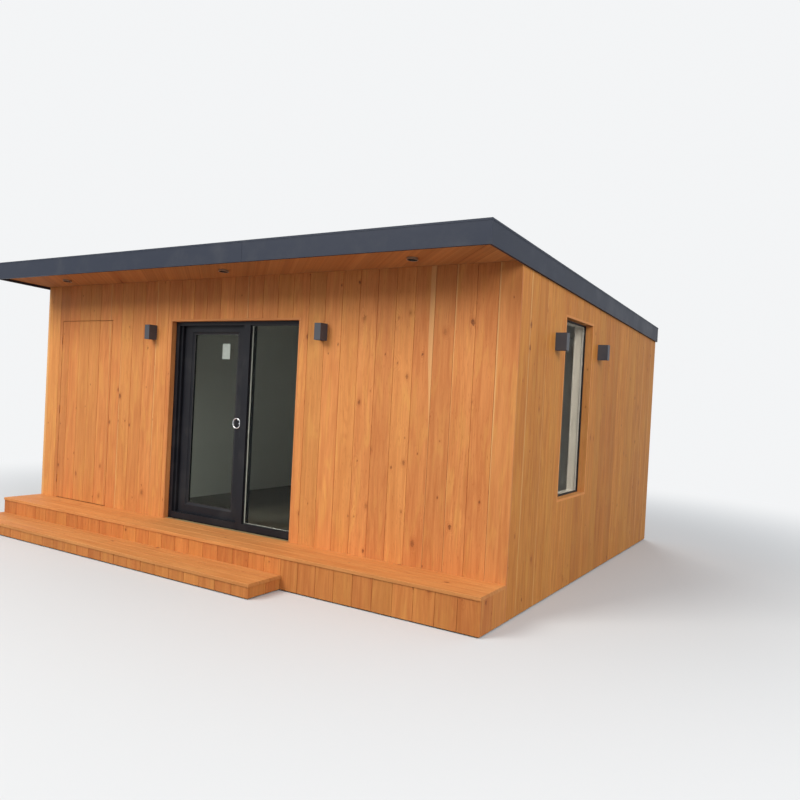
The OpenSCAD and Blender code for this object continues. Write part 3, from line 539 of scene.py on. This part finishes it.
def board_wall(bm, at, joints, low, high, openings=(), depth=CLAD_T, key=0, picked=()):
    """Upright boards between the joints, cut round the openings (across0, across1, along0, along1).

    low and high are functions of the place across. The first and last edges are plain. picked
    gives a board, counted from the last, a number of its own, and a grain that starts at the
    ground.
    """
    last = len(joints) - 2
    for i, (b0, b1) in enumerate(zip(joints, joints[1:])):
        number, set_back, shift = board_draws(1000 * key + i)
        if last - i in picked:
            number, shift = picked[last - i], 0.0
        cuts = sorted({b0, b1, *(c for o in openings for c in o[:2] if b0 + NEAR < c < b1 - NEAR)})
        for c0, c1 in zip(cuts, cuts[1:]):
            middle = (c0 + c1) / 2
            stops = [low, high]
            for o in sorted((o for o in openings if o[0] <= middle <= o[1]), key=lambda o: o[2]):
                stops[-1:] = [always(o[2]), always(o[3]), high]
            outline = board_outline(c0, c1, c0 == b0 and i > 0, c1 == b1 and i < last,
                                    depth, set_back)
            for near, far in zip(stops[::2], stops[1::2]):
                if far(middle) - near(middle) > SHORTEST:
                    add_prism(bm, outline, at, near, far, number, (b0 + b1) / 2, shift)


def joints_from(start, stop, pitch):
    """Board joints from start to stop at a pitch. A last strip under a third of a board joins
    its neighbour."""
    step = math.copysign(pitch, stop - start)
    places = [start]
    while abs(stop - places[-1]) > pitch * LAST_STRIP:
        places.append(places[-1] + step)
    return sorted(places + [stop])


def wall_at(axis, face):
    """The places of upright boards on a wall that looks away from the middle along the axis."""
    sign = math.copysign(1, face)
    if axis == "X":
        return lambda a, b, out: (face + sign * out, a, b)
    return lambda a, b, out: (a, face + sign * out, b)


def lying(at):
    """The same places for boards that lie across."""
    return lambda a, b, out: at(b, a, out)


def plain_section(a0, a1, back, front=0.0):
    """A plain board's section, from back to front behind the cladding's face."""
    return [(a0, -back), (a1, -back), (a1, -front), (a0, -front)]


def add_box(bm, low, high):
    made = bmesh.ops.create_cube(bm, size=1.0)
    size, mid = Vector(high) - Vector(low), (Vector(high) + Vector(low)) / 2
    for v in made["verts"]:
        v.co = Vector((v.co.x * size.x, v.co.y * size.y, v.co.z * size.z)) + mid


def inset(rect, width):
    a0, a1, b0, b1 = rect
    return (a0 + width, a1 - width, b0 + width, b1 - width)


def close_rows(bm, rows, pairs):
    """Faces between pairs of rows of points that run round."""
    for r0, r1 in pairs:
        for i in range(len(rows[r0])):
            j = (i + 1) % len(rows[r0])
            bm.faces.new((rows[r0][i], rows[r0][j], rows[r1][j], rows[r1][i]))


def add_ring(bm, at, outer, inner, t0, t1):
    """A flat rectangular ring from t0 to t1. outer and inner are (a0, a1, b0, b1)."""
    rows = [[bm.verts.new(at(a, b, t)) for a, b in ((a0, b0), (a1, b0), (a1, b1), (a0, b1))]
            for t in (t0, t1) for a0, a1, b0, b1 in (outer, inner)]
    close_rows(bm, rows, ((0, 1), (1, 3), (3, 2), (2, 0)))


def add_tube(bm, centre, outer, inner, z0, z1):
    """An upright ring: outer and inner radius, between two heights over the centre."""
    segments = 40
    turns = [2 * math.pi * i / segments for i in range(segments)]
    rows = [[bm.verts.new(Vector(centre) + Vector((r * math.cos(a), r * math.sin(a), z)))
             for a in turns] for r, z in ((outer, z0), (outer, z1), (inner, z1), (inner, z0))]
    close_rows(bm, rows, ((0, 1), (1, 2), (2, 3), (3, 0)))


def add_disc(bm, centre, radius, depth, axis):
    """A short cylinder along Y or Z, with a small chamfer at both rims."""
    made = bmesh.ops.create_cone(bm, cap_ends=True, segments=32, radius1=radius, radius2=radius,
                                 depth=depth)
    turn = Euler((math.pi / 2 if axis == "Y" else 0, 0, 0)).to_matrix()
    for v in made["verts"]:
        v.co = Vector(centre) + turn @ v.co
    corners = set(made["verts"])
    rims = [e for e in bm.edges if corners.issuperset(e.verts)
            and max(len(f.verts) for f in e.link_faces) > 4]
    bmesh.ops.bevel(bm, geom=rims, offset=depth * 0.25, segments=1, affect="EDGES")


def fixed_order(bm):
    """The same points and faces, sorted, since Blender's bevel orders them anew each run."""
    points = sorted(bm.verts, key=lambda v: v.co.to_tuple())
    rank = {v: i for i, v in enumerate(points)}
    rings = []
    for face in bm.faces:
        ring = [rank[v] for v in face.verts]
        first = ring.index(min(ring))
        rings.append(ring[first:] + ring[:first])
    ordered = bmesh.new()
    verts = [ordered.verts.new(v.co) for v in points]
    for ring in sorted(rings):
        ordered.faces.new([verts[i] for i in ring])
    bm.free()
    return ordered


def dress(material, *nodes):
    for node in nodes:
        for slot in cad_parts[node].material_slots:
            slot.material = material


# Cladding

def side_top(y):
    return roof_at(y) - PANEL_DROP


front_at, rear_at = wall_at("Y", -HALF_D), wall_at("Y", HALF_D)
left_at, right_at = wall_at("X", -HALF_W), wall_at("X", HALF_W)
foot = always(CLAD_FOOT)
width_joints = joints_from(HALF_W, -HALF_W, BOARD_PITCH)
side_joints = joints_from(-PANEL_Y, PANEL_Y, BOARD_PITCH)
door_hole = (DOOR[0] - LINING_T, DOOR[1] + LINING_T, DOOR[2], DOOR[3] + LINING_T)
window_hole = inset(WINDOW, -LINING_T)
pale_edged = {4: 0.5422}            # the front's board with a strip of sapwood on its right edge

for key, (node, at, joints, top, openings, picked, finish) in enumerate((
        ("front_cladding", front_at, width_joints, always(side_top(-PANEL_Y)),
         (STORE_OPEN, door_hole), pale_edged, CLADDING),
        ("rear_cladding", rear_at, width_joints, always(side_top(HALF_D)), (), (), CLADDING_SIDE_PAINTED_SHADE),
        ("left_cladding", left_at, side_joints, side_top, (), (), CLADDING_SIDE_PAINTED_SHADE),
        ("right_cladding", right_at, side_joints, side_top, (window_hole,), (), CLADDING_SIDE_PAINTED_SHADE))):
    boards = new_boards()
    board_wall(boards, at, joints, foot, top, openings, key=key, picked=picked)
    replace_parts(new_object(node + "_boards", boards, finish, "pod"), node)

# Storage door: the wall's boards, on a plain back panel

leaf_x0, leaf_x1, leaf_z0, leaf_z1 = STORE_LEAF
leaf_joints = [leaf_x0, *(j for j in width_joints if leaf_x0 < j < leaf_x1), leaf_x1]
boards = new_boards()
for i, (b0, b1) in enumerate(zip(leaf_joints, leaf_joints[1:])):
    wall_board = max(k for k, j in enumerate(width_joints) if j <= b0 + NEAR)
    number, set_back, shift = board_draws(wall_board)
    outline = board_outline(b0, b1, i > 0, i < len(leaf_joints) - 2, CLAD_T, set_back)
    middle = (width_joints[wall_board] + width_joints[wall_board + 1]) / 2
    add_prism(boards, outline, front_at, always(leaf_z0), always(leaf_z1), number, middle, shift)
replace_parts(new_object("storage_door_boards", boards, CLADDING, "storage_leaf"),
            "storage_door")
boards = new_boards()
add_prism(boards, plain_section(leaf_x0, leaf_x1, STORE_BACK_D, CLAD_T), front_at,
          always(STORE_OPEN[2] + LINING_T + STORE_BACK_GAP), always(leaf_z1), 0.3,
          (leaf_x0 + leaf_x1) / 2)
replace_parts(new_object("storage_door_back", boards, LINING_WOOD, "storage_leaf"),
            "storage_door")

# Deck, step and skirts

def flat_boards(bm, surface_z, y0, y1, x0, x1, breaks, key):
    """Three boards along X between y0 and y1, each with its own butt joints."""
    def at(a, b, out):
        return (b, a, surface_z + out)

    third = (y1 - y0) / 3
    edges = [y0, y0 + third, y0 + 2 * third, y1]
    for i, (e0, e1) in enumerate(zip(edges, edges[1:])):
        a0, a1 = e0 + (FLAT_GAP if i else 0.0), e1 - (FLAT_GAP if i < 2 else 0.0)
        outline = [(a0, -BOARD_T), (a1, -BOARD_T), (a1, -FLAT_CHAMFER), (a1 - FLAT_CHAMFER, 0),
                   (a0 + FLAT_CHAMFER, 0), (a0, -FLAT_CHAMFER)]
        stops = [x0, *breaks[i], x1]
        for k, (s0, s1) in enumerate(zip(stops, stops[1:])):
            rng = random.Random(100 * key + 10 * i + k)
            near = s0 + (BUTT_GAP if k else 0)
            far = s1 - (BUTT_GAP if k < len(stops) - 2 else 0)
            add_prism(bm, outline, at, always(near), always(far), rng.random(), (a0 + a1) / 2,
                      rng.uniform(0, GRAIN_SHIFT))


boards = new_boards()
flat_boards(boards, DECK_Z, DECK_Y, -HALF_D, -HALF_W, HALF_W, [[0.62], [-1.2, 1.9], [-0.1]], 11)
flat_boards(boards, STEP_Z, STEP_Y, DECK_SKIRT_Y, -HALF_W, STEP_X1, [[-2.35], [-0.9], [-2.35]], 12)
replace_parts(new_object("deck_board_planks", boards, DECK_WOOD, "pod"), "deck_boards")

boards = new_boards()
step_joints = joints_from(STEP_END_X, -HALF_W, BOARD_PITCH)
deck_ends = joints_from(DECK_SKIRT_Y + CLAD_T, -HALF_D, BOARD_PITCH)
step_ends = joints_from(STEP_SKIRT_Y + CLAD_T, DECK_SKIRT_Y, BOARD_PITCH)
for key, axis, face, joints, surface_z in (
        (21, "Y", DECK_SKIRT_Y, width_joints, DECK_Z), (22, "Y", STEP_SKIRT_Y, step_joints, STEP_Z),
        (23, "X", HALF_W, deck_ends, DECK_Z), (24, "X", -HALF_W, deck_ends, DECK_Z),
        (25, "X", STEP_END_X, step_ends, STEP_Z), (26, "X", -HALF_W, step_ends, STEP_Z)):
    board_wall(boards, wall_at(axis, face), joints, foot, always(surface_z - BOARD_T), key=key)
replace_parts(new_object("skirt_boards", boards, SKIRT_WOOD, "pod"), "deck_skirt")

# Soffit boards from the fascia back to the wall, drilled for the downlights

def soffit_at(a, b, out):
    return (a, b, roof_at(b) - SOFFIT_DROP - out)


boards = new_boards()
soffit_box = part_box("soffit")
board_wall(boards, soffit_at, joints_from(soffit_box[1].x, soffit_box[0].x, SOFFIT_PITCH),
           always(EAVE_Y), always(-HALF_D), depth=SOFFIT_T, key=31)
soffit = new_object("soffit_boards", boards, SOFFIT_WOOD_PAINTED_SHADE, "pod")
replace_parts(soffit, "soffit")
drill = bmesh.new()
for x, y in LIGHTS:
    made = bmesh.ops.create_cone(drill, cap_ends=True, segments=40, radius1=LIGHT_HOLE_R,
                                 radius2=LIGHT_HOLE_R, depth=0.2)
    bmesh.ops.translate(drill, verts=made["verts"], vec=soffit_at(x, y, 0.0))
drill_mesh = bpy.data.meshes.new("drill")
drill.to_mesh(drill_mesh)
drill.free()
driller = bpy.data.objects.new("drill", drill_mesh)
bpy.context.collection.objects.link(driller)
cut = soffit.modifiers.new("downlight_holes", "BOOLEAN")
cut.operation, cut.solver, cut.object = "DIFFERENCE", "EXACT", driller
cut_soffit = soffit.evaluated_get(bpy.context.evaluated_depsgraph_get())
drilled = bpy.data.meshes.new_from_object(cut_soffit)
soffit.modifiers.clear()
soffit.data = drilled
bpy.data.objects.remove(driller)

# Linings of the glazed door and the window: two jambs and a head, and a sill at the window

def add_lining(bm, at, pieces, depth, start, stop):
    """Plain boards from start to stop. pieces: edge, edge, number, and the middle of the grain."""
    for a0, a1, number, middle in pieces:
        add_prism(bm, plain_section(a0, a1, depth), at, always(start), always(stop), number, middle)


boards = new_boards()
x0, x1, z0, z1 = DOOR
add_lining(boards, front_at, ((x0 - LINING_T, x0, 0.21, x0), (x1, x1 + LINING_T, 0.64, x1)),
           LINING_D, z0, z1 + LINING_T)
add_lining(boards, lying(front_at), ((z1, z1 + LINING_T, 0.43, z1),), LINING_D, x0, x1)
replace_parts(new_object("door_lining_boards", boards, LINING_WOOD, "pod"),
            "door_lining")

boards = new_boards()
(y0, y1, z0, z1), (hole_y0, _, hole_z0, hole_z1) = WINDOW, window_hole
add_lining(boards, right_at, ((hole_y0, y0, 0.32, hole_y0), (y1, y1 + LINING_T, 0.71, y1)),
           WINDOW_LINING_D, hole_z0, hole_z1)
add_lining(boards, lying(right_at), ((hole_z0, z0, 0.55, hole_z0), (z1, hole_z1, 0.12, z1)),
           WINDOW_LINING_D, y0, y1)
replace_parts(new_object("window_lining_boards", boards, WINDOW_LINING_WOOD_PAINTED_LIGHT, "pod"),
            "window_lining")

# Sealed glass units: two panes, a black edge seal between them and the spacer bar at the gap

def front_plane(a, b, y):
    return (a, y, b)


def side_plane(a, b, x):
    return (x, a, b)


def glass_unit(name, at, hole, depth, body, node, glass):
    """hole is (a0, a1, b0, b1) of the whole unit; depth is where its outer and inner faces lie."""
    t0, t1 = depth
    step = math.copysign(PANE_T, t1 - t0)
    a0, a1, b0, b1 = hole
    bm = bmesh.new()
    for near, far in ((t0, t0 + step), (t1 - step, t1)):
        p, q = at(a0, b0, near), at(a1, b1, far)
        add_box(bm, [min(u, v) for u, v in zip(p, q)], [max(u, v) for u, v in zip(p, q)])
    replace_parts(new_object(name + "_panes", bm, glass, body), node)

    sealed = inset(hole, SEAL_W)
    for part, finish, outer, inner, back in (
            ("_edge_seal", GASKET, hole, sealed, step),
            ("_spacer", SPACER, sealed, inset(hole, SEAL_W + SPACER_W), step * SPACER_SET_IN)):
        bm = bmesh.new()
        add_ring(bm, at, outer, inner, t0 + back, t1 - back)
        new_object(name + part, bm, finish, body)


for node, name, body in (("sidelight_glass", "side_pane", "pod"),
                         ("door_glass", "leaf_pane", "glazed_door")):
    low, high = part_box(node)
    glass_unit(name, front_plane, (low.x, high.x, low.z, high.z), (low.y, high.y), body, node,
               GLASS)
low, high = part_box("window_glass")
glass_unit("window_pane", side_plane, (low.y, high.y, low.z, high.z), (high.x, low.x), "pod",
           "window_glass", WINDOW_PANE)

# Black gaskets in front of and behind the panes: name, plane, opening, width, faces, body. The
# outer rings at the leaf and the sidelight are wider than a gasket, and their extra black is
# painted shade of the beads and the frame's head
for name, at, sight, width, t0, t1, body in (
        ("leaf_gasket_outer_and_painted_shade", front_plane, LEAF_SIGHT, 0.010, -2.1245, -2.1220, "glazed_door"),
        ("leaf_gasket_inner", front_plane, LEAF_SIGHT, 0.004, -2.0980, -2.0955, "glazed_door"),
        ("side_gasket_outer_and_painted_shade", front_plane, SIDE_SIGHT, 0.007, -2.1700, -2.1670, "pod"),
        ("side_gasket_inner", front_plane, SIDE_SIGHT, 0.004, -2.1430, -2.1400, "pod"),
        ("window_gasket", side_plane, WINDOW, 0.011, 2.9190, 2.9308, "pod")):
    bm = bmesh.new()
    add_ring(bm, at, sight, inset(sight, width), t0, t1)
    new_object(name, bm, GASKET, body)

# A small blank label on the leaf's glass
bm = bmesh.new()
pane_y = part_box("door_glass")[0].y
add_box(bm, (LABEL_X[0], pane_y - LABEL_OUT, LABEL_Z[0]),
        (LABEL_X[1], pane_y + LABEL_IN, LABEL_Z[1]))
new_object("glass_label", bm, LABEL, "glazed_door")

# Bright end of the lock cylinder with its key slot, on both faces of the leaf
face_bm, slot_bm = bmesh.new(), bmesh.new()
for y, out in ((LEAF_FACE_Y - PLATE_T - CYLINDER_OUT, -1),
               (LEAF_BACK_Y + PLATE_T + CYLINDER_OUT, 1)):
    add_disc(face_bm, (LEVER_X, y + out * CYLINDER_FACE_T / 2, CYLINDER_Z), CYLINDER_R,
             CYLINDER_FACE_T, "Y")
    add_box(slot_bm, (LEVER_X - KEY_HALF_W, y + min(out, 0) * KEY_D, CYLINDER_Z - KEY_HALF_H),
            (LEVER_X + KEY_HALF_W, y + max(out, 0) * KEY_D, CYLINDER_Z + KEY_HALF_H))
new_object("lock_cylinder_faces", fixed_order(face_bm), CHROME, "glazed_door")
new_object("lock_key_slots", slot_bm, GASKET, "glazed_door")

# Lenses in the open ends of the wall lamps, and behind the bezels of the downlights
lens_bm = bmesh.new()
near, far = LAMP_LENS_FROM_WALL
half_w, half_t = LAMP_LENS_HALF_W, LAMP_LENS_HALF_T
for x, y, axis in WALL_LAMPS:
    for z in (LAMP_Z[1] - LAMP_LENS_IN, LAMP_Z[0] + LAMP_LENS_IN):
        if axis == "Y":
            add_box(lens_bm, (x - half_w, y - far, z - half_t), (x + half_w, y - near, z + half_t))
        else:
            add_box(lens_bm, (x + near, y - half_w, z - half_t), (x + far, y + half_w, z + half_t))
new_object("wall_lamp_lenses", lens_bm, LENS, "pod")
# The downlights' lenses, and the ring that lines each hole, are dark brown: painted shade inside
# the recess
lens_bm = bmesh.new()
for x, y in LIGHTS:
    soffit_z = roof_at(y) - SOFFIT_DROP
    add_disc(lens_bm, (x, y, soffit_z + LIGHT_LENS_UP), LIGHT_TUBE_R - LIGHT_LENS_CLEAR,
             LIGHT_LENS_T, "Z")
    add_tube(lens_bm, (x, y, soffit_z), LIGHT_TUBE_R - LIGHT_RING_CLEAR,
             LIGHT_TUBE_R - LIGHT_RING_IN, *LIGHT_RING_Z)
new_object("downlight_lenses", fixed_order(lens_bm), DOWNLIGHT_LENS_PAINTED_SHADE, "pod")

# Finishes of the carried-over CAD nodes

dress(WHITE, "front_wall", "front_wall_heads", "left_wall", "rear_wall", "right_wall",
      "right_wall_window", "partition_wall", "ceiling", "window_frame")
dress(PLANKS, "floor")
dress(MEMBRANE, "roof_membrane")
dress(FASCIA, "fascia_front", "fascia_sides", "fascia_rear", "edge_trim")
dress(PROFILE, "door_frame", "door_leaf")
dress(LAMP_COAT, "wall_lamps")
dress(BEZEL, "downlights")
dress(RAINWATER, "gutter_base", "gutter_sides", "gutter_ends", "downpipe", "downpipe_brackets")
dress(HINGE, "door_hinges", "frame_hinges", "storage_hinges")
dress(PLATE, "door_plates")
dress(CHROME, "door_lever")
dress(SAWN_Z, "storage_lining", "roof_panel")
dress(UNDER_X, "bearers", "rim_joists")
dress(UNDER_Y, "joists")

# Studio: pale floor, soft light, and the camera where the photograph was taken

BACKDROP, FLOOR_COLOUR = (0.90, 0.91, 0.92), (0.66, 0.67, 0.68)
PAVING = (0.22, 0.215, 0.21), (0.27, 0.265, 0.26)
SKY, SKY_STRENGTH = (0.90, 0.95, 1.0), 0.62
FLOOR_HALF = 90.0
FLOOR_FADES = (4.4, 9.0)            # from the middle: the floor goes over into the backdrop


def seen_direct(nodes, links):
    """1 for rays that show the background: to the camera, mirrored, or through glass."""
    path = nodes.new("ShaderNodeLightPath")
    total = path.outputs["Is Camera Ray"]
    for name in ("Is Glossy Ray", "Is Transmission Ray"):
        both = nodes.new("ShaderNodeMath")
        both.operation = "MAXIMUM"
        links.new(total, both.inputs[0])
        links.new(path.outputs[name], both.inputs[1])
        total = both.outputs[0]
    return total


def studio_floor():
    """Pale where it is seen, and lost in the backdrop far off, but like paving for the light that
    it throws back."""
    bm = bmesh.new()
    bmesh.ops.create_grid(bm, x_segments=1, y_segments=1, size=FLOOR_HALF)
    mesh = bpy.data.meshes.new("studio_floor")
    bm.to_mesh(mesh)
    bm.free()
    obj = bpy.data.objects.new("studio_floor", mesh)
    bpy.context.collection.objects.link(obj)
    t = Tree("studio_floor")
    seen = seen_direct(t.nodes, t.links)
    place = t.place()
    paving = t.mix(t.noise(place, 2.0, 4.0, 0.6), *PAVING)
    t.shade(Base_Color=t.mix(seen, paving, FLOOR_COLOUR), Roughness=0.9, Specular_IOR_Level=0.1)
    glow = t.node("ShaderNodeEmission", Color=BACKDROP, Strength=1.0)
    x, y, _ = t.axes(place)
    away = t.math("SQRT", t.plus(t.times(x, x), t.times(y, y)))
    faded = t.times(t.span(away, *FLOOR_FADES), seen)
    show_mixed(t.nodes, t.links, faded, t.shader, glow, t.output)
    mesh.materials.append(t.material)


def area_light(name, place, aim, size, power, colour):
    light = bpy.data.lights.new(name, "AREA")
    light.shape, light.size, light.energy, light.color = "SQUARE", size, power, colour
    obj = bpy.data.objects.new(name, light)
    obj.location = place
    obj.rotation_euler = (Vector(aim) - Vector(place)).to_track_quat("-Z", "Y").to_euler()
    bpy.context.collection.objects.link(obj)


studio_floor()
world = bpy.data.worlds.new("studio")
bpy.context.scene.world = world
world.use_nodes = True
w_nodes, w_links = world.node_tree.nodes, world.node_tree.links
backdrop, ambient = w_nodes.new("ShaderNodeBackground"), w_nodes["Background"]
for background, colour, strength in ((backdrop, BACKDROP, 1.0), (ambient, SKY, SKY_STRENGTH)):
    background.inputs["Color"].default_value = (*colour, 1)
    background.inputs["Strength"].default_value = strength
show_mixed(w_nodes, w_links, seen_direct(w_nodes, w_links), ambient, backdrop,
           w_nodes["World Output"])

area_light("key", (-3.4, -11.2, 8.5), (0.4, -2.0, 1.2), 6.0, 1120, (1.0, 0.97, 0.92))
area_light("side", (10.2, -6.4, 6.4), (3.0, -0.2, 1.2), 5.0, 540, (1.0, 0.98, 0.95))
area_light("rear", (-4.0, 12.0, 7.5), (0.0, 1.0, 1.0), 6.0, 620, (1.0, 0.99, 0.97))

camera = bpy.data.cameras.new("camera")
camera.sensor_width, camera.lens = 36.0, 32.566
camera.shift_x, camera.shift_y = 0.00155, 0.00643
camera_obj = bpy.data.objects.new("camera", camera)
camera_obj.location = (5.130, -7.379, 1.708)
camera_obj.rotation_euler = Euler([math.radians(a) for a in (89.136, -2.945, 31.768)], "XYZ")
bpy.context.collection.objects.link(camera_obj)
bpy.context.scene.camera = camera_obj
bpy.context.scene.view_settings.view_transform = "Standard"
